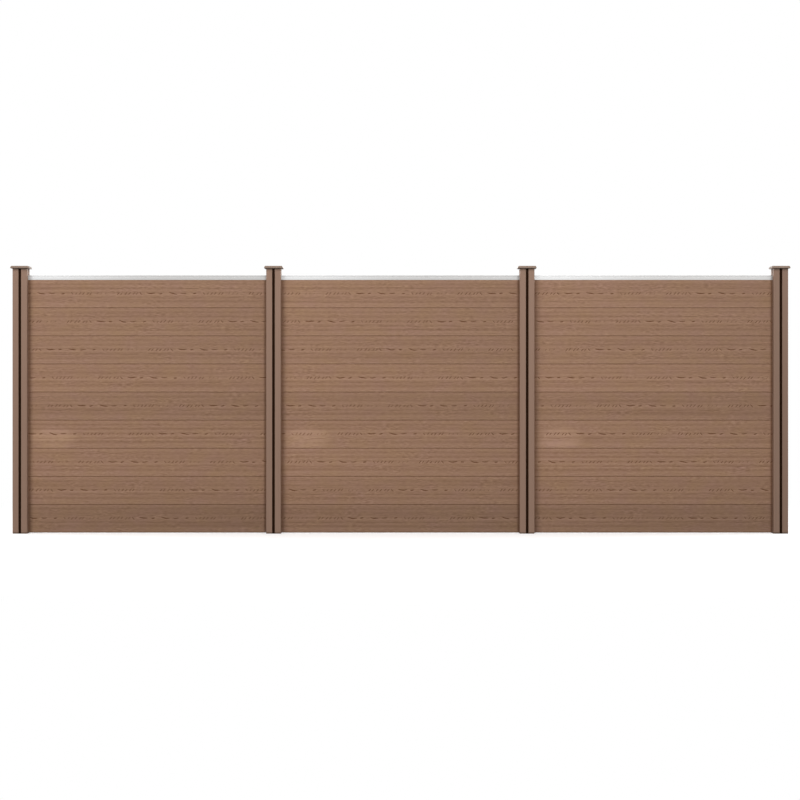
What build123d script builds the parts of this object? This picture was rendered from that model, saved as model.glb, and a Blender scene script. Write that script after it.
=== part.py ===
"""Composite privacy fence: hollow tongue-and-groove boards slid into four-slot posts, in three bays.

Millimetres, +Z up, X along the fence, front towards -Y.
The origin is on the ground at the middle of the run.
"""

from build123d import *
import math
import os

# Layout of the run
bay_count = 3
boards_per_bay = 9
bay_pitch = 1730.0

# Post, a hollow extrusion with a slot in each face
post_side = 100.0
post_wall = 7.5
post_corner_radius = 4.0
post_reveal = 46.0
slot_depth = 22.0
slot_lip_radius = 1.2
slot_play = 0.5

# Board, a hollow tongue-and-groove extrusion
board_thickness = 17.0
board_cover = 192.0
board_skin = 4.0
board_web = 4.0
board_chambers = 6
board_end_gap = 4.0
joint_chamfer = 1.5
tongue_width = 5.0
tongue_height = 8.0
tongue_play = 0.3
groove_spare = 1.0

# Top rail, an aluminium channel over the top board's tongue
rail_height = 31.0
rail_wall = 1.6
rail_lip = 2.0
rail_edge_radius = 1.5
rail_line_drop = 11.0
rail_line_width = 2.4
rail_line_depth = 0.8

# Cover strip clipped into each slot that holds no boards
strip_recess = 2.0
strip_face = 2.0
strip_leg = 1.8
strip_depth = 13.0
strip_edge_radius = 0.8
slot_fit = 0.2

# Foot block under the lowest board in each used slot
foot_height = 5.0

# Post cap, a moulding with crossed ribs that plug into the post's socket
cap_overhang = 13.0
cap_edge_height = 8.0
cap_bevel_height = 8.0
cap_bevel_inset = 6.5
cap_corner_radius = 3.0
cap_edge_radius = 1.0
cap_wall = 3.0
cap_seat_lap = 6.0
spigot_length = 30.0
spigot_play = 0.3
spigot_lead = 3.0

# Sizes that follow from those above
post_half = post_side / 2
slot_width = board_thickness + 2 * slot_play
slot_floor = post_half - slot_depth
socket_side = 2 * (slot_floor - post_wall)
chamber_low = slot_width / 2 + post_wall
chamber_high = post_half - post_wall
groove_width = tongue_width + 2 * tongue_play
groove_depth = tongue_height + groove_spare
board_length = bay_pitch - post_side + 2 * (slot_depth - board_end_gap)
panel_top = foot_height + boards_per_bay * board_cover
post_height = panel_top + rail_height + post_reveal
cap_side = post_side + 2 * cap_overhang
cap_height = cap_edge_height + cap_bevel_height
spigot_side = socket_side - 2 * spigot_play
strip_width = slot_width - 2 * slot_fit
post_places = [bay_pitch * (place - bay_count / 2) for place in range(bay_count + 1)]


def across(x, z):
    """A plane square to the fence's length, with its own x towards the back and its own y upwards."""
    return Plane(origin=(x, 0, z), x_dir=(0, 1, 0), z_dir=(1, 0, 0))


def save(piece, name):
    """Labels a finished piece and writes its file."""
    piece.label = name
    export_step(piece, f"parts/{name}.step")


# Corner chamber of the post: what is left between the slots, the outer walls and the socket's wall
with BuildSketch() as chamber_section:
    with Locations(((chamber_low + chamber_high) / 2, (chamber_low + chamber_high) / 2)):
        Rectangle(chamber_high - chamber_low, chamber_high - chamber_low)
    Rectangle(socket_side + 2 * post_wall, socket_side + 2 * post_wall, mode=Mode.SUBTRACT)

# Post section, with rounded corners and rounded lips at each slot's mouth
with BuildSketch() as post_section:
    RectangleRounded(post_side, post_side, post_corner_radius)
    with PolarLocations(post_half - slot_depth / 2, 4):
        Rectangle(slot_depth, slot_width, mode=Mode.SUBTRACT)
    lips = [
        corner
        for corner in post_section.vertices()
        if math.isclose(max(abs(corner.X), abs(corner.Y)), post_half)
        and math.isclose(min(abs(corner.X), abs(corner.Y)), slot_width / 2)
    ]
    fillet(lips, slot_lip_radius)
    Rectangle(socket_side, socket_side, mode=Mode.SUBTRACT)
    with PolarLocations(0, 4):
        add(chamber_section.sketch, mode=Mode.SUBTRACT)

# Board section: the front half of the outline is drawn and mirrored, then the chambers are cut
with BuildSketch() as board_section:
    with BuildLine():
        half_thickness = board_thickness / 2
        Polyline(
            (0, groove_depth),
            (groove_width / 2, groove_depth),
            (groove_width / 2, 0),
            (half_thickness - joint_chamfer, 0),
            (half_thickness, joint_chamfer),
            (half_thickness, board_cover - joint_chamfer),
            (half_thickness - joint_chamfer, board_cover),
            (tongue_width / 2, board_cover),
            (tongue_width / 2, board_cover + tongue_height),
            (0, board_cover + tongue_height),
            (0, groove_depth),
        )
    make_face()
    mirror(about=Plane.YZ)
    chamber_span = board_cover - groove_depth - 2 * board_skin
    chamber_height = (chamber_span - (board_chambers - 1) * board_web) / board_chambers
    with Locations((0, groove_depth + board_skin + chamber_span / 2)):
        with GridLocations(0, chamber_height + board_web, 1, board_chambers):
            Rectangle(board_thickness - 2 * board_skin, chamber_height, mode=Mode.SUBTRACT)

# Rail section: a box with a slot for the tongue below and a shaded line along each side
with BuildSketch() as rail_section:
    with Locations((0, rail_height / 2)):
        Rectangle(board_thickness, rail_height)
    fillet(rail_section.vertices().group_by(Axis.Y)[-1], rail_edge_radius)
    hollow_height = rail_height - rail_wall - rail_lip
    with Locations((0, rail_lip + hollow_height / 2)):
        Rectangle(board_thickness - 2 * rail_wall, hollow_height, mode=Mode.SUBTRACT)
    with Locations((0, rail_lip / 2)):
        Rectangle(groove_width, rail_lip, mode=Mode.SUBTRACT)
    for side in (-1, 1):
        with BuildLine():
            face = side * board_thickness / 2
            line_height = rail_height - rail_line_drop
            Polyline(
                (face, line_height - rail_line_width / 2),
                (face - side * rail_line_depth, line_height),
                (face, line_height + rail_line_width / 2),
                close=True,
            )
        make_face(mode=Mode.SUBTRACT)

# Strip section, in the slot on the +X side of a post: a covering face and two legs
with BuildSketch() as strip_section:
    strip_front = post_half - strip_recess
    with Locations((strip_front - strip_depth / 2, 0)):
        Rectangle(strip_depth, strip_width)
    fillet(strip_section.vertices().group_by(Axis.X)[-1], strip_edge_radius)
    with Locations((strip_front - strip_face - (strip_depth - strip_face) / 2, 0)):
        Rectangle(strip_depth - strip_face, strip_width - 2 * strip_leg, mode=Mode.SUBTRACT)


def make_post(x):
    with BuildPart() as post:
        with BuildSketch(Plane(origin=(x, 0, 0))):
            add(post_section.sketch)
        extrude(amount=post_height)
    return post.part


def make_cap(x):
    """The cap stands on the post's end by a seat ring, cored out around it, with crossed ribs below."""
    with BuildPart() as cap:
        with BuildSketch(Plane(origin=(x, 0, post_height))):
            RectangleRounded(cap_side, cap_side, cap_corner_radius)
        extrude(amount=cap_edge_height)
        with BuildSketch(Plane(origin=(x, 0, post_height + cap_edge_height))):
            RectangleRounded(cap_side, cap_side, cap_corner_radius)
        extrude(amount=cap_bevel_height, taper=math.degrees(math.atan2(cap_bevel_inset, cap_bevel_height)))
        fillet(cap.faces().sort_by(Axis.Z)[-1].edges(), cap_edge_radius)
        with BuildSketch(Plane(origin=(x, 0, post_height))):
            rim_inside = cap_side - 2 * cap_wall
            seat_outside = post_side + 2 * cap_wall
            Rectangle(rim_inside, rim_inside)
            Rectangle(seat_outside, seat_outside, mode=Mode.SUBTRACT)
        extrude(amount=cap_edge_height, mode=Mode.SUBTRACT)
        with BuildSketch(Plane(origin=(x, 0, post_height))):
            seat_inside = post_side - 2 * cap_seat_lap
            Rectangle(seat_inside, seat_inside)
            Rectangle(seat_inside, cap_wall, mode=Mode.SUBTRACT)
            Rectangle(cap_wall, seat_inside, mode=Mode.SUBTRACT)
        extrude(amount=cap_height - cap_wall, mode=Mode.SUBTRACT)
        with BuildSketch(Plane(origin=(x, 0, post_height))):
            Rectangle(spigot_side, cap_wall)
            Rectangle(cap_wall, spigot_side)
        extrude(amount=-spigot_length)
        chamfer(cap.faces().sort_by(Axis.Z)[0].edges().group_by(SortBy.LENGTH)[0], spigot_lead)
    return cap.part


def make_board(x, z):
    with BuildPart() as board:
        with BuildSketch(across(x, z)):
            add(board_section.sketch)
        extrude(amount=board_length)
    return board.part


def make_rail(x):
    with BuildPart() as rail:
        with BuildSketch(across(x, panel_top)):
            add(rail_section.sketch)
        extrude(amount=board_length)
    return rail.part


def make_foot(x, side):
    """A block in the slot on the given side of the post at x, with the bay's lowest board on it."""
    with BuildPart() as foot:
        with BuildSketch(Plane(origin=(x, 0, 0))):
            with Locations((side * (slot_floor + slot_depth / 2), 0)):
                Rectangle(slot_depth - 2 * slot_fit, strip_width)
        extrude(amount=foot_height)
    return foot.part


def make_strip(x, turn):
    """A strip in the slot that faces the given angle from +X."""
    turned = (math.cos(math.radians(turn)), math.sin(math.radians(turn)), 0)
    with BuildPart() as strip:
        with BuildSketch(Plane(origin=(x, 0, 0), x_dir=turned)):
            add(strip_section.sketch)
        extrude(amount=post_height)
    return strip.part


os.makedirs("parts", exist_ok=True)

for number, x in enumerate(post_places, start=1):
    save(make_post(x), f"post_{number}")
    save(make_cap(x), f"post_cap_{number}")
    save(make_strip(x, -90), f"slot_strip_{number}_front")
    save(make_strip(x, 90), f"slot_strip_{number}_back")

save(make_strip(post_places[0], 180), "slot_strip_left_end")
save(make_strip(post_places[-1], 0), "slot_strip_right_end")

for bay in range(1, bay_count + 1):
    left_post, right_post = post_places[bay - 1], post_places[bay]
    board_start = left_post + slot_floor + board_end_gap
    for row in range(boards_per_bay):
        save(make_board(board_start, foot_height + row * board_cover), f"bay_{bay}_board_{row + 1}")
    save(make_rail(board_start), f"bay_{bay}_top_rail")
    save(make_foot(left_post, 1), f"bay_{bay}_foot_left")
    save(make_foot(right_post, -1), f"bay_{bay}_foot_right")
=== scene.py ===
"""Finishes a composite privacy fence: embossed boards, brushed posts, satin rails and a plain white studio.

Metres, +Z up, X along the fence, front towards -Y.
"""

import math
from typing import NamedTuple

import bmesh
import bpy
from bpy.props import FloatProperty, FloatVectorProperty, IntProperty, PointerProperty
from mathutils import Matrix, Vector


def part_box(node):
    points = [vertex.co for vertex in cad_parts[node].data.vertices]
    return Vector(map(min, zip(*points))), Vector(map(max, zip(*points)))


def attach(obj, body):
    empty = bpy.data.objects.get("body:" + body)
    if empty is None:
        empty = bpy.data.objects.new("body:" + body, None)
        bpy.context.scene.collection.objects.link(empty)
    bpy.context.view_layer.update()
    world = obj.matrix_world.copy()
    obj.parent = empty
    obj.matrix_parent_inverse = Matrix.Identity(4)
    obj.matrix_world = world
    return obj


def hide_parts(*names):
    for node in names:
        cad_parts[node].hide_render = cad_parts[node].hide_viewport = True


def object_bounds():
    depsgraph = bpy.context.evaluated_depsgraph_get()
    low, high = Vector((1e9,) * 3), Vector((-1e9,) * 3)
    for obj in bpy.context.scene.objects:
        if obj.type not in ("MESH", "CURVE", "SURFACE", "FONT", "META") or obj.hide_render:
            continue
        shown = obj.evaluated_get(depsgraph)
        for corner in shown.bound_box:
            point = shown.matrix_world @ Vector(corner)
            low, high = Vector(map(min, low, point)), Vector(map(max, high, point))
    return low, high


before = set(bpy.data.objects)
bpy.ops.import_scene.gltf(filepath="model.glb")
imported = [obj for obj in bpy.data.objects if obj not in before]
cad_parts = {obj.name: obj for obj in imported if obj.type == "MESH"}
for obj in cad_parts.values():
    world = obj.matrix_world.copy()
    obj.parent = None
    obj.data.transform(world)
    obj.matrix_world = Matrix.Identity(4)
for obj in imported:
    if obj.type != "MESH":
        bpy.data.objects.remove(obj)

bl_info = {
    "name": "Composite Privacy Fence",
    "version": (1, 0, 0),
    "blender": (4, 5, 0),
    "location": "3D View > Sidebar > Fence",
    "description": "Embosses the boards, finishes every piece and sets up the studio",
    "category": "Object",
}

CAD_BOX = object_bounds()

# How the run is laid out, read from the frame
FIRST_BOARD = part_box("bay_1_board_1")
BOARD_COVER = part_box("bay_1_board_2")[0].z - FIRST_BOARD[0].z
BAY_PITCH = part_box("bay_2_board_1")[0].x - FIRST_BOARD[0].x
BOARD_LENGTH = FIRST_BOARD[1].x - FIRST_BOARD[0].x
BOARD_HALF = BOARD_COVER / 2
BOARD_FACE = FIRST_BOARD[1].y
BAY_START = FIRST_BOARD[0].x
PANEL_FOOT = FIRST_BOARD[0].z
SLOT_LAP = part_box("post_1")[1].x - BAY_START
RAIL_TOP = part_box("bay_1_top_rail")[1].z
POST_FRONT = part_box("post_1")[0].y
POST_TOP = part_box("post_1")[1].z
LAST_BAY_MIDDLE = (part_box("post_3")[1].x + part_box("post_4")[0].x) / 2

# Like pieces, found by their names
BOARDS = sorted(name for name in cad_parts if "_board_" in name)
POSTS = sorted(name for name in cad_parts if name.startswith("post_") and "cap" not in name)
CAPS = sorted(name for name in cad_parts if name.startswith("post_cap_"))
RAILS = sorted(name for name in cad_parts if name.endswith("_top_rail"))
STRIPS = sorted(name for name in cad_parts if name.startswith("slot_strip_"))
FEET = sorted(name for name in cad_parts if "_foot_" in name)

# Tolerances in the boards' meshes
MERGE_DISTANCE = 1e-6
FACE_TOLERANCE = 1e-5
FACING = 0.99
FLAT_ANGLE = math.radians(1)
SHARP_ANGLE = math.radians(32)


class Span(NamedTuple):
    """A stretch from a low value to a high one."""

    low: float
    high: float

    def pick(self, share):
        """The low value at a share of 0, and the high one at 1."""
        return self.low + share * (self.high - self.low)


class Marks(NamedTuple):
    """A run of like marks on the embossing roll."""

    start: float  # from the roll's seam
    count: int
    pitch: float  # from one mark to the next
    length: float
    slant: float  # the slope of a mark, up or down
    upturn: float = 0.0  # how far the left end of a mark turns up
    thickness: float = 0.0076
    height: float = 0.002  # above the middle of the board
    sway: float = 0.004  # how far the run wanders up and down
    ripple: float = 18.0  # wanders in a metre
    weight: float = 1.0  # how strongly the run is pressed


# Length of board in one turn of the roll, after which the marks repeat
ROLL_TURN = 0.900

# Long marks along the middle, then short slanted ones, with two runs of faint lines above and below
ROLL_MARKS = (
    Marks(0.000, 1, 0.080, 0.066, 0.05, 0.009),
    Marks(0.095, 1, 0.036, 0.028, 0.15),
    Marks(0.170, 2, 0.066, 0.056, 0.12, 0.005),
    Marks(0.325, 1, 0.036, 0.026, 0.15),
    Marks(0.395, 6, 0.025, 0.019, 1.0),
    Marks(0.565, 3, 0.027, 0.016, 1.0, weight=0.6),
    Marks(0.705, 7, 0.026, 0.020, 1.0),
    Marks(0.020, 4, 0.215, 0.150, 0.03, thickness=0.005, height=-0.028, sway=0.005, ripple=3.0, weight=0.38),
    Marks(0.120, 3, 0.250, 0.080, 0.03, thickness=0.004, height=0.036, sway=0.020, ripple=2.0, weight=0.25),
)

# How far the roll has run from one board to the next, and from a board's front to its back
ROW_SHIFT = 7.756
BAY_SHIFT = 2.173
BACK_SHIFT = 91.7

# How the marks of a run differ from each other
MARK_MIDDLE = Span(0.35, 0.65)  # a mark's middle, as a share of the pitch
MARK_LENGTH = Span(0.8, 1.2)  # as a share of the run's length
MARK_PRESS = Span(0.75, 1.5)  # how strongly a mark is pressed, fully at 1 and over
LEAN_BACK = 0.3  # the share of the marks that slope down to the right

# The measure of a mark is 1 in its middle, 0 at its rim and less outside it
MARK_RIM = Span(0.0, 0.4)
# The lips' paleness is a painted highlight, strongest below a mark, as if lit from above
LIP_HIGHLIGHT_RIM = Span(-9.0, -2.0)
LIP_HIGHLIGHT_SIDE = Span(-1.0, 0.0)  # from a mark's lower rim to its middle, in half thicknesses
LIP_HIGHLIGHT_LOSS = 0.7  # the share of the painted highlight that is missing on the lip above a mark
RAGGED = 1.3  # how ragged the rims are
UPTURN = Span(-1.2, 0.0)  # from the left end of a mark to its middle, in half lengths

# Cells of noise in a metre, along a board and up it
RAGGED_CELLS = (130.0, 300.0)
STREAK_CELLS = (0.5, 62.0)
LINE_CELLS = (6.0, 420.0)
FIBRE_CELLS = (32.0, 125.0)
PATCH_CELLS = (4.5, 13.0)
TINT_CELLS = (7.0, 9.0)
STREAK_DETAIL = 3.0

# Streaks fade towards a board's edges, and fibres are faint outside their patches
STREAK_EDGE = Span(BOARD_HALF - 0.032, BOARD_HALF - 0.012)
STREAK_LOSS = 0.7
PATCH_RIM = Span(-0.04, 0.16)
FIBRE_STRENGTH = Span(0.4, 1.0)

# The webs between a board's chambers, which show through as faint lines: the top one's drop, and their pitch
TOP_WEB = 0.0295
WEB_PITCH = 0.0298

# How far each part of the grain takes a board's colour from deep to pale
STREAK_SHARE = 0.66
LINE_SHARE = 0.70
MOTTLE_SHARE = 1.50
BAND_SHARE = 0.07
WEB_SHARE = -0.15
# The lips' share is a painted highlight
LIP_HIGHLIGHT_SHARE = 0.13
LOW_EDGE_SHARE = 0.17
PALE_PATCH_SHARE = 0.45

# The paler lower edge of a board, and the line of painted shade in its V-joints, from its middle
LOW_EDGE = Span(0.004 - BOARD_HALF, 0.044 - BOARD_HALF)
JOINT_SHADE = Span(BOARD_HALF - 0.0028, BOARD_HALF - 0.0008)

# The painted shade on the boards beside the posts, and the darker band along the foot of a bay
SHADE_BESIDE_POSTS_REACH = Span(0.006, 0.024)
SHADE_BESIDE_POSTS_SHARE = 0.5
FOOT_DARK_REACH = Span(PANEL_FOOT + 0.004, PANEL_FOOT + 0.012)
FOOT_DARK_SHARE = 0.3

# The pale patch on the front of each bay: its middle from the boards' left ends and from the ground
PALE_PATCH_MIDDLE = (0.195, 0.648)
PALE_PATCH_HALF = (0.188, 0.090)
PALE_PATCH_RIM = Span(0.0, 0.9)
PALE_PATCH_STREAK = Span(-0.15, 0.15)  # dark streaks in it are paled least
PALE_PATCH_STRENGTH = Span(0.6, 1.0)

# The chance from 0 to 1 at which a row keeps its tone, and the lowest rows, which are darker
ROW_MIDDLE = 0.66
DARK_LOW_ROWS = Span(0.0, 2.0)

# How rough and glossy the boards are
BOARD_ROUGHNESS = 0.62
LINE_ROUGHNESS = 0.20
MARK_ROUGHNESS = 0.15
BOARD_GLOSS = 0.3


class Finish(NamedTuple):
    """A fine grain that varies the tone and roughness of a piece and roughens its surface."""

    cells: tuple  # cells of noise in a metre along X, Y and Z
    tone: float  # how much the grain changes the tone
    roughness: float
    roughness_spread: float
    depth: float
    gloss: float = 0.5


POST_FINISH = Finish((420.0, 420.0, 3.0), 0.12, 0.60, 0.20, 0.0002, 0.35)
CAP_FINISH = Finish((900.0, 900.0, 900.0), 0.08, 0.50, 0.20, 0.00015)
RAIL_FINISH = Finish((0.5, 700.0, 700.0), 0.06, 0.50, 0.12, 0.00002)
STRIP_FINISH = Finish((500.0, 500.0, 4.0), 0.50, 0.70, 0.20, 0.0001, 0.03)
FOOT_FINISH = Finish((800.0, 800.0, 800.0), 0.50, 0.65, 0.20, 0.00015)

# The posts' soft streaks, darker feet and the painted shade under their caps
POST_STREAK_CELLS = (60.0, 60.0, 0.9)
POST_STREAK_TONE = 0.12
POST_FOOT_DARK = Span(0.008, 0.014)
POST_FOOT_DARK_TONE = 0.45
POST_CAP_SHADE = Span(POST_TOP - 0.030, POST_TOP - 0.008)
POST_CAP_SHADE_TONE = 0.14

# The caps' soft clouds
CAP_CLOUD_CELLS = (14.0, 14.0, 14.0)
CAP_CLOUD_TONE = 0.08

# The rails' painted reflection dims along a share of their length; they change tone at the line along their
# sides, and a painted reflection darkens them below it
RAIL_REFLECTION_DIMMING = Span(0.0, 0.6)
RAIL_LINE = Span(-0.001, 0.001)
RAIL_LOWER_REFLECTION = Span(-0.011, -0.002)

# The floor's half width, and how light it is for light on the fence and for what is looked at
FLOOR_HALF = 60.0
FLOOR_BOUNCE = 0.08
FLOOR_PALE = 0.8
FLOOR_GLOW = 0.32


class Lamp(NamedTuple):
    """A soft rectangular lamp that faces the middle of the fence."""

    name: str
    turn: float  # degrees to the right of straight in front
    tilt: float  # degrees above the horizon
    distance: float
    width: float
    height: float


LAMPS = (
    Lamp("left_key", -39, 26, 25.0, 9.0, 9.0),
    Lamp("right_key", 22, 24, 25.0, 5.0, 5.0),
    Lamp("top_strip", 0, 58, 3.2, 9.0, 1.0),
    Lamp("left_side", -102, 20, 16.0, 5.0, 5.0),
    Lamp("right_side", 102, 20, 16.0, 5.0, 5.0),
    Lamp("left_back", -150, 16, 16.0, 7.0, 7.0),
    Lamp("right_back", 150, 16, 16.0, 7.0, 7.0),
)


class Value:
    """A socket of a node tree. Arithmetic on it adds Math nodes."""

    def __init__(self, recipe, socket):
        self.recipe = recipe
        self.socket = socket

    def math(self, operation, *others):
        return self.recipe.math(operation, self, *others)

    def __add__(self, other):
        return self.math("ADD", other)

    def __sub__(self, other):
        return self.math("SUBTRACT", other)

    def __rsub__(self, other):
        return self.recipe.math("SUBTRACT", other, self)

    def __mul__(self, other):
        return self.math("MULTIPLY", other)

    def __truediv__(self, other):
        return self.math("DIVIDE", other)

    __radd__ = __add__
    __rmul__ = __mul__

    def floor(self):
        return self.math("FLOOR")

    def size(self):
        return self.math("ABSOLUTE")

    def over(self, bar):
        """1 where it is over the bar, and 0 elsewhere."""
        return self.math("GREATER_THAN", bar)

    def larger(self, other):
        return self.math("MAXIMUM", other)

    def smaller(self, other):
        return self.math("MINIMUM", other)

    def rise(self, low, high):
        """0 below low and 1 above high, with a soft step between."""
        return self.recipe.node(
            "ShaderNodeMapRange",
            {"interpolation_type": "SMOOTHSTEP"},
            {"Value": self, "From Min": low, "From Max": high},
        )


class Recipe:
    """Writes the nodes of one tree, of a material, a world or a geometry modifier."""

    def __init__(self, tree):
        self.tree = tree

    def node(self, kind, settings=None, inputs=None, output=0):
        made = self.tree.nodes.new(kind)
        for name, setting in (settings or {}).items():
            setattr(made, name, setting)
        for key, given in (inputs or {}).items():
            if isinstance(given, Value):
                self.tree.links.new(given.socket, made.inputs[key])
            else:
                made.inputs[key].default_value = given
        return Value(self, made.outputs[output]) if made.outputs else None

    def math(self, operation, *values):
        return self.node("ShaderNodeMath", {"operation": operation}, dict(enumerate(values)))

    def parts(self, vector):
        """The X, Y and Z of a vector."""
        split = self.node("ShaderNodeSeparateXYZ", None, {"Vector": vector})
        return [Value(self, socket) for socket in split.socket.node.outputs]

    def vector(self, x, y, z=0.0):
        return self.node("ShaderNodeCombineXYZ", None, {"X": x, "Y": y, "Z": z})

    def noise(self, place, cells, detail=2.0):
        """Noise from about -0.5 to 0.5, with so many cells in a metre along each part of the place."""
        spread = self.vector(*(part * count for part, count in zip(place, cells)))
        return self.node("ShaderNodeTexNoise", None, {"Vector": spread, "Scale": 1.0, "Detail": detail}) - 0.5

    def ripple(self, place):
        """Noise along a line, from about -0.5 to 0.5."""
        settings = {"noise_dimensions": "1D"}
        return self.node("ShaderNodeTexNoise", settings, {"W": place, "Scale": 1.0, "Detail": 1.0}) - 0.5

    def mix(self, share, first, second):
        """From the first colour at a share of 0 to the second at 1."""
        # This node's colour sockets are inputs 6 and 7 and output 2
        return self.node("ShaderNodeMix", {"data_type": "RGBA"}, {0: share, 6: first, 7: second}, 2)

    def shade(self, colour, level):
        """A colour made lighter or darker."""
        return self.node("ShaderNodeVectorMath", {"operation": "SCALE"}, {0: colour, "Scale": level})


class Grain(NamedTuple):
    """What the die and the embossing roll leave at a place on the boards, with a painted highlight on the
    marks' lips.
    """

    mark: Value  # 0 to 1, the pressed marks
    lip_highlight: Value  # 0 to 1, a painted highlight on the edges of the marks, most of all the lower ones
    web: Value  # -0.5 to 0.5, the webs inside showing through
    band: Value  # -0.5 to 0.5, high along the middle and the edges of the board
    streak: Value  # -0.5 to 0.5, soft streaks along the board
    line: Value  # -0.5 to 0.5, fine brushed lines
    mottle: Value  # -0.5 to 0.5, short fibres, strongest in small patches
    tint: Value  # 0 to 1, from pink to straw
    row: Value  # rows of boards below this one
    height: Value  # above the middle of the board
    from_end: Value  # from the left ends of the bay's boards


def pressed(recipe, along, height, ragged, marks):
    """A run of marks, as slanted ellipses along a wandering line, and the painted highlight on their lips."""
    turned = along.math("FLOORED_MODULO", ROLL_TURN) - marks.start
    number = (turned / marks.pitch).floor().larger(0.0).smaller(marks.count - 1.0)
    place = recipe.vector(number, marks.start, marks.pitch)
    chance = recipe.node("ShaderNodeTexWhiteNoise", None, {"Vector": place}, "Color")
    shift, length, side = recipe.parts(chance)
    beside = turned - (number + MARK_MIDDLE.pick(shift)) * marks.pitch
    reach = beside / (MARK_LENGTH.pick(length) * (marks.length / 2))
    slope = (side.over(LEAN_BACK) - 0.5) * (2 * marks.slant)
    upturn = (1.0 - reach.rise(*UPTURN)) * marks.upturn
    wander = recipe.ripple(along * marks.ripple) * (2 * marks.sway) + beside * slope + upturn
    across = (height - marks.height - wander) / (marks.thickness / 2)
    measure = 1.0 - across * across - reach * reach + ragged
    # Painted highlight, strongest on a mark's lower lip, which faces the light from above
    below = 1.0 - across.rise(*LIP_HIGHLIGHT_SIDE) * LIP_HIGHLIGHT_LOSS
    weight = MARK_PRESS.pick(length).smaller(1.0) * marks.weight
    return measure.rise(*MARK_RIM) * weight, measure.rise(*LIP_HIGHLIGHT_RIM) * below * weight


def board_grain(recipe, position):
    """The grain at a position on the fence, the same in the boards' geometry and in their material."""
    x, y, z = recipe.parts(position)
    row = ((z - PANEL_FOOT) / BOARD_COVER).floor()
    bay = ((x - BAY_START) / BAY_PITCH).floor()
    height = z - PANEL_FOOT - (row + 0.5) * BOARD_COVER
    from_end = x - BAY_START - bay * BAY_PITCH
    along = x + row * ROW_SHIFT + bay * BAY_SHIFT + y.over(0.0) * BACK_SHIFT
    place = (along, height)
    ragged = recipe.noise(place, RAGGED_CELLS) * RAGGED
    runs = [pressed(recipe, along, height, ragged, marks) for marks in ROLL_MARKS]
    mark, lip_highlight = runs[0]
    for next_mark, next_lip_highlight in runs[1:]:
        mark = mark.larger(next_mark)
        lip_highlight = lip_highlight.larger(next_lip_highlight)
    web = ((BOARD_HALF - height - TOP_WEB) * (math.tau / WEB_PITCH)).math("COSINE") * 0.5
    band = (height * (math.tau / BOARD_HALF)).math("COSINE") * 0.5
    edge = height.size().rise(*STREAK_EDGE)
    streak = recipe.noise(place, STREAK_CELLS, STREAK_DETAIL) * (1.0 - edge * STREAK_LOSS)
    line = recipe.noise(place, LINE_CELLS)
    patches = recipe.noise(place, PATCH_CELLS).rise(*PATCH_RIM)
    mottle = recipe.noise(place, FIBRE_CELLS) * FIBRE_STRENGTH.pick(patches)
    tint = recipe.noise(place, TINT_CELLS) + 0.5
    return Grain(mark, lip_highlight, web, band, streak, line, mottle, tint, row, height, from_end)


def pale_patch_at(recipe, position, grain):
    """Up to 1 in the middle of the pale patch on the front of each bay, fading to 0 around it."""
    _, y, z = recipe.parts(position)
    across = (grain.from_end - PALE_PATCH_MIDDLE[0]) / PALE_PATCH_HALF[0]
    up = (z - PALE_PATCH_MIDDLE[1]) / PALE_PATCH_HALF[1]
    patch = (1.0 - across * across - up * up).rise(*PALE_PATCH_RIM) * (1.0 - y.over(0.0))
    return patch * PALE_PATCH_STRENGTH.pick(grain.streak.rise(*PALE_PATCH_STREAK))


def opaque(colour):
    """A colour property as a colour socket takes it."""
    return (*colour, 1.0)


def grey(level):
    """A grey as a colour socket takes it."""
    return (level, level, level, 1.0)


def new_material(name):
    """A material with one surface shader, and a recipe to write its nodes with."""
    material = bpy.data.materials.new(name)
    material.use_nodes = True
    return material, Recipe(material.node_tree), material.node_tree.nodes["Principled BSDF"]


def object_place(recipe):
    return recipe.node("ShaderNodeTexCoord", output="Object")


def bump(recipe, height, depth):
    return recipe.node("ShaderNodeBump", None, {"Height": height, "Distance": depth})


def feed(shader, values):
    """Links values that change over the surface into the shader's sockets."""
    for name, value in values.items():
        value.recipe.tree.links.new(value.socket, shader.inputs[name])


def dress(recipe, shader, finish, place, colour, tone=1.0):
    """Feeds a piece's shader with its colour at a tone, and with the fine grain of its finish."""
    grain = recipe.noise(place, finish.cells)
    feed(shader, {
        "Base Color": recipe.shade(colour, tone + grain * finish.tone),
        "Roughness": finish.roughness + grain * finish.roughness_spread,
        "Normal": bump(recipe, grain, finish.depth),
    })
    shader.inputs["Specular IOR Level"].default_value = finish.gloss


def wear(names, material):
    """Gives CAD pieces their material."""
    for name in names:
        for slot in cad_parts[name].material_slots:
            slot.material = material


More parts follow.
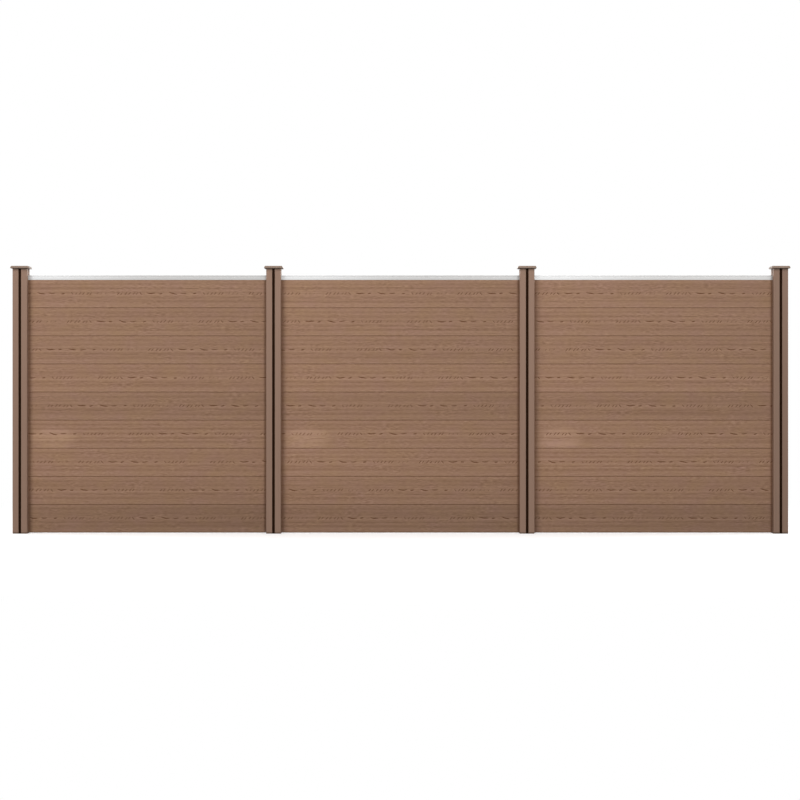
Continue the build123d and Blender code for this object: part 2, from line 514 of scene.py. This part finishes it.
class FenceBoards(bpy.types.PropertyGroup):
    """The boards' colours and the depth of their grain."""

    deep_colour: FloatVectorProperty(
        name="Deep", description="Colour of the dark streaks", default=(0.185, 0.092, 0.049), subtype="COLOR"
    )
    pale_colour: FloatVectorProperty(
        name="Pale", description="Colour of the pale streaks", default=(0.379, 0.218, 0.170), subtype="COLOR"
    )
    straw_colour: FloatVectorProperty(
        name="Straw", description="Colour of the yellower pale streaks", default=(0.379, 0.232, 0.118),
        subtype="COLOR"
    )
    # The marks' colour also serves as painted shade in the joints and beside the posts
    mark_colour: FloatVectorProperty(
        name="Marks", description="Colour in the marks and joints", default=(0.112, 0.042, 0.016),
        subtype="COLOR"
    )
    row_seed: IntProperty(name="Row Seed", description="Which rows come out paler or darker", default=987)
    row_spread: FloatProperty(
        name="Row Spread", description="How much the rows differ in tone", default=0.20, subtype="FACTOR"
    )
    # Painted light: a board is paler at its left end and darker at its right
    fade: FloatProperty(
        name="Fade", description="How much paler a board is at its left end", default=0.14, subtype="FACTOR"
    )
    # How much darker the lowest rows are
    splash: FloatProperty(
        name="Splash", description="How much darker the lowest boards are", default=0.07, subtype="FACTOR"
    )
    mark_depth: FloatProperty(
        name="Mark Depth", description="How deep the marks are pressed", default=0.0008, unit="LENGTH"
    )
    streak_depth: FloatProperty(
        name="Streak Depth", description="How deep the soft streaks are", default=0.0002, unit="LENGTH"
    )
    line_depth: FloatProperty(
        name="Line Depth", description="How deep the fine brushed lines are", default=0.0002, unit="LENGTH"
    )
    web_depth: FloatProperty(
        name="Web Depth", description="How far the faces sink over the webs", default=0.0002, unit="LENGTH"
    )
    edge_fade: FloatProperty(
        name="Edge Fade", description="Width of the fade at a board's edges", default=0.004, unit="LENGTH"
    )
    mark_band: FloatProperty(
        name="Mark Band", description="Height of the finely cut band of marks", default=0.036, unit="LENGTH"
    )
    mark_step: FloatProperty(
        name="Mark Step", description="Height of the net's rows in that band", default=0.0026, unit="LENGTH"
    )
    mark_length: FloatProperty(
        name="Mark Length", description="Length of the net's cells in that band", default=0.005, unit="LENGTH"
    )
    plain_step: FloatProperty(
        name="Plain Step", description="Height of the net's rows elsewhere", default=0.0075, unit="LENGTH"
    )
    plain_length: FloatProperty(
        name="Plain Length", description="Length of the net's cells elsewhere", default=0.010, unit="LENGTH"
    )


class FencePosts(bpy.types.PropertyGroup):
    """The colours of the posts and of what is fitted to them."""

    post_colour: FloatVectorProperty(
        name="Post", description="Colour of the posts", default=(0.266, 0.163, 0.114), subtype="COLOR"
    )
    # Painted shade: the post at the right end is darker
    right_end_shade_tone: FloatProperty(
        name="Last Tone", description="Tone of the post at the right end", default=0.855, subtype="FACTOR"
    )
    cap_colour: FloatVectorProperty(
        name="Cap", description="Colour of the caps", default=(0.212, 0.143, 0.105), subtype="COLOR"
    )
    strip_colour: FloatVectorProperty(
        name="Strip", description="Colour of the slot strips", default=(0.016, 0.006, 0.002), subtype="COLOR"
    )
    foot_colour: FloatVectorProperty(
        name="Foot", description="Colour of the feet", default=(0.020, 0.020, 0.020), subtype="COLOR"
    )
    brush_depth: FloatProperty(
        name="Brush Depth", description="How deep the posts are brushed", default=POST_FINISH.depth,
        unit="LENGTH"
    )


class FenceRails(bpy.types.PropertyGroup):
    """The finish of the aluminium rails."""

    # The two ends' colours carry a painted reflection, bright at the left end and dim at the right
    bright_colour: FloatVectorProperty(
        name="Bright End", description="Colour at the left end", default=(0.54, 0.54, 0.54), subtype="COLOR"
    )
    dim_end_colour: FloatVectorProperty(
        name="Dull End", description="Colour at the right end", default=(0.41, 0.405, 0.40), subtype="COLOR"
    )
    upper_tone: FloatProperty(
        name="Upper Tone", description="Tone above the line along the sides", default=0.93, subtype="FACTOR"
    )
    # Painted reflection of the brown boards, darkening the rails' lower edges
    lower_reflection_tone: FloatProperty(
        name="Lower Tone", description="Tone of the dusty lower edges", default=0.88, subtype="FACTOR"
    )
    line_drop: FloatProperty(
        name="Line Drop", description="From a rail's top down to that line", default=0.011, unit="LENGTH"
    )
    roughness: FloatProperty(
        name="Roughness", description="Roughness of the satin finish", default=RAIL_FINISH.roughness,
        subtype="FACTOR"
    )


class FenceStudio(bpy.types.PropertyGroup):
    """The camera and the light."""

    camera_distance: FloatProperty(
        name="Distance", description="From the camera to the front of the posts", default=14.0, unit="LENGTH"
    )
    aim: FloatVectorProperty(
        name="Aim", description="What the camera faces, from the middle of the fence to the right and up",
        default=(-0.0024, -0.0014), size=2, unit="LENGTH"
    )
    lens: FloatProperty(name="Lens", description="The camera's focal length", default=92.4, unit="CAMERA")
    left_key: FloatProperty(
        name="Left Key", description="Power of the large light on the left", default=2560.0, unit="POWER"
    )
    right_key: FloatProperty(
        name="Right Key", description="Power of the light on the right", default=2120.0, unit="POWER"
    )
    top_strip: FloatProperty(
        name="Top Strip", description="Power of the long light above the front", default=64.0, unit="POWER"
    )
    left_side: FloatProperty(
        name="Left Side", description="Power of the light on the left end", default=900.0, unit="POWER"
    )
    right_side: FloatProperty(
        name="Right Side", description="Power of the light on the right end", default=1100.0, unit="POWER"
    )
    left_back: FloatProperty(
        name="Left Back", description="Power of the light behind the left", default=1100.0, unit="POWER"
    )
    right_back: FloatProperty(
        name="Right Back", description="Power of the light behind the right", default=1100.0, unit="POWER"
    )
    fill: FloatProperty(name="Fill", description="Strength of the light from all round", default=0.18)
    floor_reach: FloatProperty(
        name="Floor Reach", description="How far the floor shows shadows", default=5.0, unit="LENGTH"
    )


class FENCE_OT_boards(bpy.types.Operator):
    """Replace each board's plain solid by one with the grain pressed into both faces"""

    bl_idname = "fence.boards"
    bl_label = "Emboss Boards"

    def execute(self, context):
        look = context.scene.fence_boards
        material = self.finish(look)
        relief = self.relief(look)
        blank = self.blank(look)
        for name in BOARDS:
            mesh = blank.copy()
            mesh.transform(Matrix.Translation(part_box(name)[0] - FIRST_BOARD[0]))
            board = bpy.data.objects.new(f"{name}_embossed", mesh)
            context.scene.collection.objects.link(board)
            press = board.modifiers.new("relief", "NODES")
            press.node_group = relief
            with context.temp_override(object=board):
                bpy.ops.object.modifier_apply(modifier=press.name)
            board.data.shade_smooth()
            board.data.set_sharp_from_angle(angle=SHARP_ANGLE)
            board.data.materials.append(material)
            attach(board, "root")
            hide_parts(name)
        bpy.data.meshes.remove(blank)
        return {"FINISHED"}

    def blank(self, look):
        """A copy of the first board's solid with its two faces cut into a net, finest along the middle."""
        board = bmesh.new()
        board.from_mesh(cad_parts["bay_1_board_1"].data)
        bmesh.ops.remove_doubles(board, verts=board.verts, dist=MERGE_DISTANCE)
        bmesh.ops.dissolve_limit(board, angle_limit=FLAT_ANGLE, verts=board.verts, edges=board.edges)
        top = PANEL_FOOT + BOARD_COVER
        band_low = PANEL_FOOT + BOARD_HALF - look.mark_band / 2
        band_high = band_low + look.mark_band
        bands = (
            (PANEL_FOOT, band_low, look.plain_step, look.plain_length),
            (band_low, band_high, look.mark_step, look.mark_length),
            (band_high, top, look.plain_step, look.plain_length),
        )
        self.cut(board, PANEL_FOOT, top, (band_low, band_high), Vector((0, 0, 1)))
        for low, high, step, length in bands:
            self.cut(board, low, high, self.steps(low, high, step), Vector((0, 0, 1)))
            columns = self.steps(BAY_START, BAY_START + BOARD_LENGTH, length)
            self.cut(board, low, high, columns, Vector((1, 0, 0)))
        mesh = bpy.data.meshes.new("board_blank")
        board.to_mesh(mesh)
        board.free()
        return mesh

    @staticmethod
    def steps(start, end, step):
        """Evenly spaced places between the start and the end."""
        count = max(round((end - start) / step), 1)
        return [start + (end - start) * number / count for number in range(1, count)]

    @staticmethod
    def cut(board, low, high, places, direction):
        """Cuts the part of the two faces between two heights at each place along a direction."""
        skins = []
        for face in board.faces:
            middle = face.calc_center_median()
            on_face = abs(face.normal.y) > FACING and abs(middle.y) > BOARD_FACE - FACE_TOLERANCE
            if on_face and low < middle.z < high:
                skins.append(face)
        edges = {edge for face in skins for edge in face.edges}
        corners = {corner for face in skins for corner in face.verts}
        net = [*skins, *edges, *corners]
        for place in places:
            made = bmesh.ops.bisect_plane(
                board, geom=net, dist=MERGE_DISTANCE, plane_co=direction * place, plane_no=direction
            )
            net = made["geom"]

    @staticmethod
    def relief(look):
        """The nodes that press the marks and streaks into a board's faces, and never raise them."""
        tree = bpy.data.node_groups.new("board_relief", "GeometryNodeTree")
        tree.interface.new_socket("Board", in_out="INPUT", socket_type="NodeSocketGeometry")
        tree.interface.new_socket("Board", in_out="OUTPUT", socket_type="NodeSocketGeometry")
        recipe = Recipe(tree)
        board = recipe.node("NodeGroupInput")
        position = recipe.node("GeometryNodeInputPosition")
        grain = board_grain(recipe, position)
        y = recipe.parts(position)[1]
        fade = 1.0 - grain.height.size().rise(BOARD_HALF - look.edge_fade, BOARD_HALF)
        rolled = grain.mark * look.mark_depth + (grain.streak + 0.5) * look.streak_depth
        sunk = (grain.web + 0.5) * look.web_depth
        inwards = recipe.vector(0.0, y.math("SIGN") * (rolled + sunk) * fade * -1.0)
        on_face = y.size().over(BOARD_FACE - FACE_TOLERANCE)
        moved = recipe.node(
            "GeometryNodeSetPosition", None, {"Geometry": board, "Selection": on_face, "Offset": inwards}
        )
        recipe.node("NodeGroupOutput", None, {0: moved})
        return tree

    def finish(self, look):
        """Brown composite, with streaks, darker marks and shaded joints, in tones that differ by row."""
        material, recipe, shader = new_material("wpc_board")
        place = object_place(recipe)
        grain = board_grain(recipe, place)
        face = self.face(recipe, look, place, grain)
        colour = recipe.mix(self.darkness(recipe, place, grain), face, opaque(look.mark_colour))
        feed(shader, {
            "Base Color": recipe.shade(colour, self.tone(recipe, look, grain)),
            "Roughness": BOARD_ROUGHNESS + grain.line * LINE_ROUGHNESS + grain.mark * MARK_ROUGHNESS,
            "Normal": bump(recipe, grain.line, look.line_depth),
        })
        shader.inputs["Specular IOR Level"].default_value = BOARD_GLOSS
        return material

    @staticmethod
    def face(recipe, look, place, grain):
        """The colour of the faces between the marks, from deep to pale."""
        low_edge = 1.0 - grain.height.rise(*LOW_EDGE)
        pale_patch = pale_patch_at(recipe, place, grain)
        weathered = grain.streak * STREAK_SHARE + grain.line * LINE_SHARE + grain.mottle * MOTTLE_SHARE
        ridged = grain.band * BAND_SHARE + grain.web * WEB_SHARE
        # The lips' paleness is a painted highlight; the paler lower edge and the pale patch are tone
        lightened = grain.lip_highlight * LIP_HIGHLIGHT_SHARE + low_edge * LOW_EDGE_SHARE + pale_patch * PALE_PATCH_SHARE
        pale = recipe.mix(grain.tint, opaque(look.pale_colour), opaque(look.straw_colour))
        return recipe.mix(0.5 + weathered + ridged + lightened, opaque(look.deep_colour), pale)

    @staticmethod
    def darkness(recipe, place, grain):
        """How far the marks' colour shows: in marks, as painted shade in the joints and beside the posts, and
        along the foot.
        """
        # Painted shade in the V-joints between the boards
        joint_shade = grain.height.size().rise(*JOINT_SHADE)
        from_post = BOARD_LENGTH / 2 - SLOT_LAP - (grain.from_end - BOARD_LENGTH / 2).size()
        # Painted shade in the corners beside the posts
        shade_beside_posts = 1.0 - from_post.rise(*SHADE_BESIDE_POSTS_REACH)
        # Darker along the foot of the bay
        foot_dark = 1.0 - recipe.parts(place)[2].rise(*FOOT_DARK_REACH)
        return grain.mark.larger(joint_shade).larger(shade_beside_posts * SHADE_BESIDE_POSTS_SHARE).larger(foot_dark * FOOT_DARK_SHARE)

    @staticmethod
    def tone(recipe, look, grain):
        """How light a board is: rows differ, painted light makes left ends paler and right ends darker, and
        the lowest rows are darker.
        """
        chance = recipe.node(
            "ShaderNodeTexWhiteNoise", {"noise_dimensions": "1D"}, {"W": grain.row + look.row_seed}
        )
        # Painted light across each board, from pale at the left to dark at the right
        painted_side_light = (0.5 - grain.from_end / BOARD_LENGTH) * look.fade
        # The lowest rows are darker
        lowest_rows_darkening = (1.0 - (grain.row + grain.height / BOARD_COVER).rise(*DARK_LOW_ROWS)) * look.splash
        return 1.0 + (chance - ROW_MIDDLE) * look.row_spread + painted_side_light - lowest_rows_darkening


class FENCE_OT_posts(bpy.types.Operator):
    """Give the posts their finely brushed composite finish"""

    bl_idname = "fence.posts"
    bl_label = "Finish Posts"

    def execute(self, context):
        look = context.scene.fence_posts
        material, recipe, shader = new_material("wpc_post")
        place = recipe.parts(object_place(recipe))
        x, _, z = place
        streak = recipe.noise(place, POST_STREAK_CELLS) * POST_STREAK_TONE
        # Darker along the foot of the post
        foot_dark = (1.0 - z.rise(*POST_FOOT_DARK)) * POST_FOOT_DARK_TONE
        # Painted shade on the post's top, under the cap's overhang
        cap_shade = z.rise(*POST_CAP_SHADE) * POST_CAP_SHADE_TONE
        # Painted shade: the post at the right end is darker
        right_end_shade = x.over(LAST_BAY_MIDDLE) * (1 - look.right_end_shade_tone)
        tone = 1.0 + streak - foot_dark - cap_shade - right_end_shade
        finish = POST_FINISH._replace(depth=look.brush_depth)
        dress(recipe, shader, finish, place, tuple(look.post_colour), tone)
        wear(POSTS, material)
        return {"FINISHED"}


class FENCE_OT_caps(bpy.types.Operator):
    """Give the post caps a fine moulded grain"""

    bl_idname = "fence.caps"
    bl_label = "Finish Caps"

    def execute(self, context):
        look = context.scene.fence_posts
        material, recipe, shader = new_material("cap_moulding")
        place = recipe.parts(object_place(recipe))
        cloud = recipe.noise(place, CAP_CLOUD_CELLS) * CAP_CLOUD_TONE
        dress(recipe, shader, CAP_FINISH, place, tuple(look.cap_colour), 1.0 + cloud)
        wear(CAPS, material)
        return {"FINISHED"}


class FENCE_OT_rails(bpy.types.Operator):
    """Give the top rails a satin anodised finish drawn along their length"""

    bl_idname = "fence.rails"
    bl_label = "Finish Rails"

    def execute(self, context):
        look = context.scene.fence_rails
        material, recipe, shader = new_material("aluminium_rail")
        place = recipe.parts(object_place(recipe))
        x, _, z = place
        bay = ((x - BAY_START) / BAY_PITCH).floor()
        along = (x - BAY_START - bay * BAY_PITCH) / BOARD_LENGTH
        # Painted reflection, dimming from each rail's left end to its right
        reflection_dimming = along.rise(*RAIL_REFLECTION_DIMMING)
        colour = recipe.mix(reflection_dimming, opaque(look.bright_colour), opaque(look.dim_end_colour))
        above_line = z - (RAIL_TOP - look.line_drop)
        upper = above_line.rise(*RAIL_LINE) * (1 - look.upper_tone)
        # Painted reflection of the brown boards below, darkening the lower edge
        lower = (1.0 - above_line.rise(*RAIL_LOWER_REFLECTION)) * (1 - look.lower_reflection_tone)
        finish = RAIL_FINISH._replace(roughness=look.roughness)
        dress(recipe, shader, finish, place, colour, 1.0 - upper - lower)
        shader.inputs["Metallic"].default_value = 1.0
        wear(RAILS, material)
        return {"FINISHED"}


class FENCE_OT_strips(bpy.types.Operator):
    """Give the slot strips a matt, nearly black finish drawn along their length"""

    bl_idname = "fence.strips"
    bl_label = "Finish Slot Strips"

    def execute(self, context):
        look = context.scene.fence_posts
        material, recipe, shader = new_material("slot_strip")
        place = recipe.parts(object_place(recipe))
        dress(recipe, shader, STRIP_FINISH, place, tuple(look.strip_colour))
        wear(STRIPS, material)
        return {"FINISHED"}


class FENCE_OT_feet(bpy.types.Operator):
    """Give the feet in the slots a black moulded finish"""

    bl_idname = "fence.feet"
    bl_label = "Finish Feet"

    def execute(self, context):
        look = context.scene.fence_posts
        material, recipe, shader = new_material("slot_foot")
        place = recipe.parts(object_place(recipe))
        dress(recipe, shader, FOOT_FINISH, place, tuple(look.foot_colour))
        wear(FEET, material)
        return {"FINISHED"}


class FENCE_OT_studio(bpy.types.Operator):
    """Set up the camera, the soft lights and the white floor"""

    bl_idname = "fence.studio"
    bl_label = "Set Up Studio"

    def execute(self, context):
        scene = context.scene
        look = scene.fence_studio
        low, high = CAD_BOX
        middle = (low + high) / 2
        scene.view_settings.view_transform = "Standard"
        self.camera(scene, look, middle)
        for lamp in LAMPS:
            self.hang(scene, lamp, middle, getattr(look, lamp.name))
        self.world(scene, look)
        self.floor(scene, look, low.z)
        return {"FINISHED"}

    @staticmethod
    def camera(scene, look, middle):
        camera = bpy.data.cameras.new("camera")
        camera.lens = look.lens
        eye = bpy.data.objects.new("camera", camera)
        right, up = look.aim
        eye.location = (middle.x + right, POST_FRONT - look.camera_distance, middle.z + up)
        eye.rotation_euler = (math.radians(90), 0, 0)
        scene.collection.objects.link(eye)
        scene.camera = eye

    @staticmethod
    def hang(scene, lamp, target, power):
        """Hangs a soft lamp around the target and turns it to face it."""
        light = bpy.data.lights.new(lamp.name, "AREA")
        light.shape = "RECTANGLE"
        light.size = lamp.width
        light.size_y = lamp.height
        light.energy = power
        turn, tilt = math.radians(lamp.turn), math.radians(lamp.tilt)
        outwards = Vector((math.sin(turn) * math.cos(tilt), -math.cos(turn) * math.cos(tilt), math.sin(tilt)))
        hung = bpy.data.objects.new(lamp.name, light)
        hung.location = target + outwards * lamp.distance
        hung.rotation_euler = (-outwards).to_track_quat("-Z", "Y").to_euler()
        scene.collection.objects.link(hung)

    @staticmethod
    def seen(recipe):
        """1 for what is looked at, straight or in a shiny or clear surface, and 0 for light on the fence."""
        path = recipe.node("ShaderNodeLightPath").socket.node
        straight = Value(recipe, path.outputs["Is Camera Ray"])
        mirrored = Value(recipe, path.outputs["Is Glossy Ray"])
        through = Value(recipe, path.outputs["Is Transmission Ray"])
        return straight.larger(mirrored).larger(through)

    def world(self, scene, look):
        """A white surround for what is looked at, and a faint light on the fence from all round."""
        world = bpy.data.worlds.new("studio")
        world.use_nodes = True
        recipe = Recipe(world.node_tree)
        recipe.tree.nodes.clear()
        fill = recipe.node("ShaderNodeBackground", None, {"Color": grey(1.0), "Strength": look.fill})
        white = recipe.node("ShaderNodeBackground", None, {"Color": grey(1.0), "Strength": 1.0})
        shown = recipe.node("ShaderNodeMixShader", None, {0: self.seen(recipe), 1: fill, 2: white})
        recipe.node("ShaderNodeOutputWorld", None, {"Surface": shown})
        scene.world = world

    def floor(self, scene, look, level):
        """A wide floor that looks white, keeps the fence's shadow and throws little light back."""
        net = bmesh.new()
        ground = Matrix.Translation((0, 0, level))
        bmesh.ops.create_grid(net, x_segments=1, y_segments=1, size=FLOOR_HALF, matrix=ground)
        mesh = bpy.data.meshes.new("floor")
        net.to_mesh(mesh)
        net.free()
        floor = bpy.data.objects.new("floor", mesh)
        scene.collection.objects.link(floor)
        material = bpy.data.materials.new("floor")
        material.use_nodes = True
        recipe = Recipe(material.node_tree)
        recipe.tree.nodes.clear()
        bounce = recipe.node("ShaderNodeBsdfDiffuse", None, {"Color": grey(FLOOR_BOUNCE)})
        pale = recipe.node("ShaderNodeBsdfDiffuse", None, {"Color": grey(FLOOR_PALE)})
        glow = recipe.node("ShaderNodeEmission", None, {"Color": grey(1.0), "Strength": FLOOR_GLOW})
        near = recipe.node("ShaderNodeAddShader", None, {0: pale, 1: glow})
        far = recipe.node("ShaderNodeEmission", None, {"Color": grey(1.0), "Strength": 1.0})
        place = object_place(recipe)
        reach = recipe.node("ShaderNodeVectorMath", {"operation": "LENGTH"}, {0: place}, "Value")
        distance = reach.rise(look.floor_reach / 2, look.floor_reach)
        white = recipe.node("ShaderNodeMixShader", None, {0: distance, 1: near, 2: far})
        shown = recipe.node("ShaderNodeMixShader", None, {0: self.seen(recipe), 1: bounce, 2: white})
        recipe.node("ShaderNodeOutputMaterial", None, {"Surface": shown})
        mesh.materials.append(material)


class FENCE_PT_sidebar(bpy.types.Panel):
    """The fence's sizes, colours and steps"""

    bl_idname = "FENCE_PT_sidebar"
    bl_label = "Composite Privacy Fence"
    bl_space_type = "VIEW_3D"
    bl_region_type = "UI"
    bl_category = "Fence"

    def draw(self, context):
        for step in STEPS:
            self.layout.operator(step.bl_idname)
        for name, group in GROUPS.items():
            box = self.layout.box()
            for setting in group.__annotations__:
                box.prop(getattr(context.scene, name), setting)


GROUPS = {
    "fence_boards": FenceBoards,
    "fence_posts": FencePosts,
    "fence_rails": FenceRails,
    "fence_studio": FenceStudio,
}
STEPS = (
    FENCE_OT_boards,
    FENCE_OT_posts,
    FENCE_OT_caps,
    FENCE_OT_rails,
    FENCE_OT_strips,
    FENCE_OT_feet,
    FENCE_OT_studio,
)


def register():
    for part in (*GROUPS.values(), *STEPS, FENCE_PT_sidebar):
        bpy.utils.register_class(part)
    for name, group in GROUPS.items():
        setattr(bpy.types.Scene, name, PointerProperty(type=group))


def unregister():
    for name in GROUPS:
        delattr(bpy.types.Scene, name)
    for part in (FENCE_PT_sidebar, *reversed(STEPS), *reversed(GROUPS.values())):
        bpy.utils.unregister_class(part)


def main():
    register()
    bpy.ops.fence.boards()
    bpy.ops.fence.posts()
    bpy.ops.fence.caps()
    bpy.ops.fence.rails()
    bpy.ops.fence.strips()
    bpy.ops.fence.feet()
    bpy.ops.fence.studio()


if __name__ == "__main__":
    main()
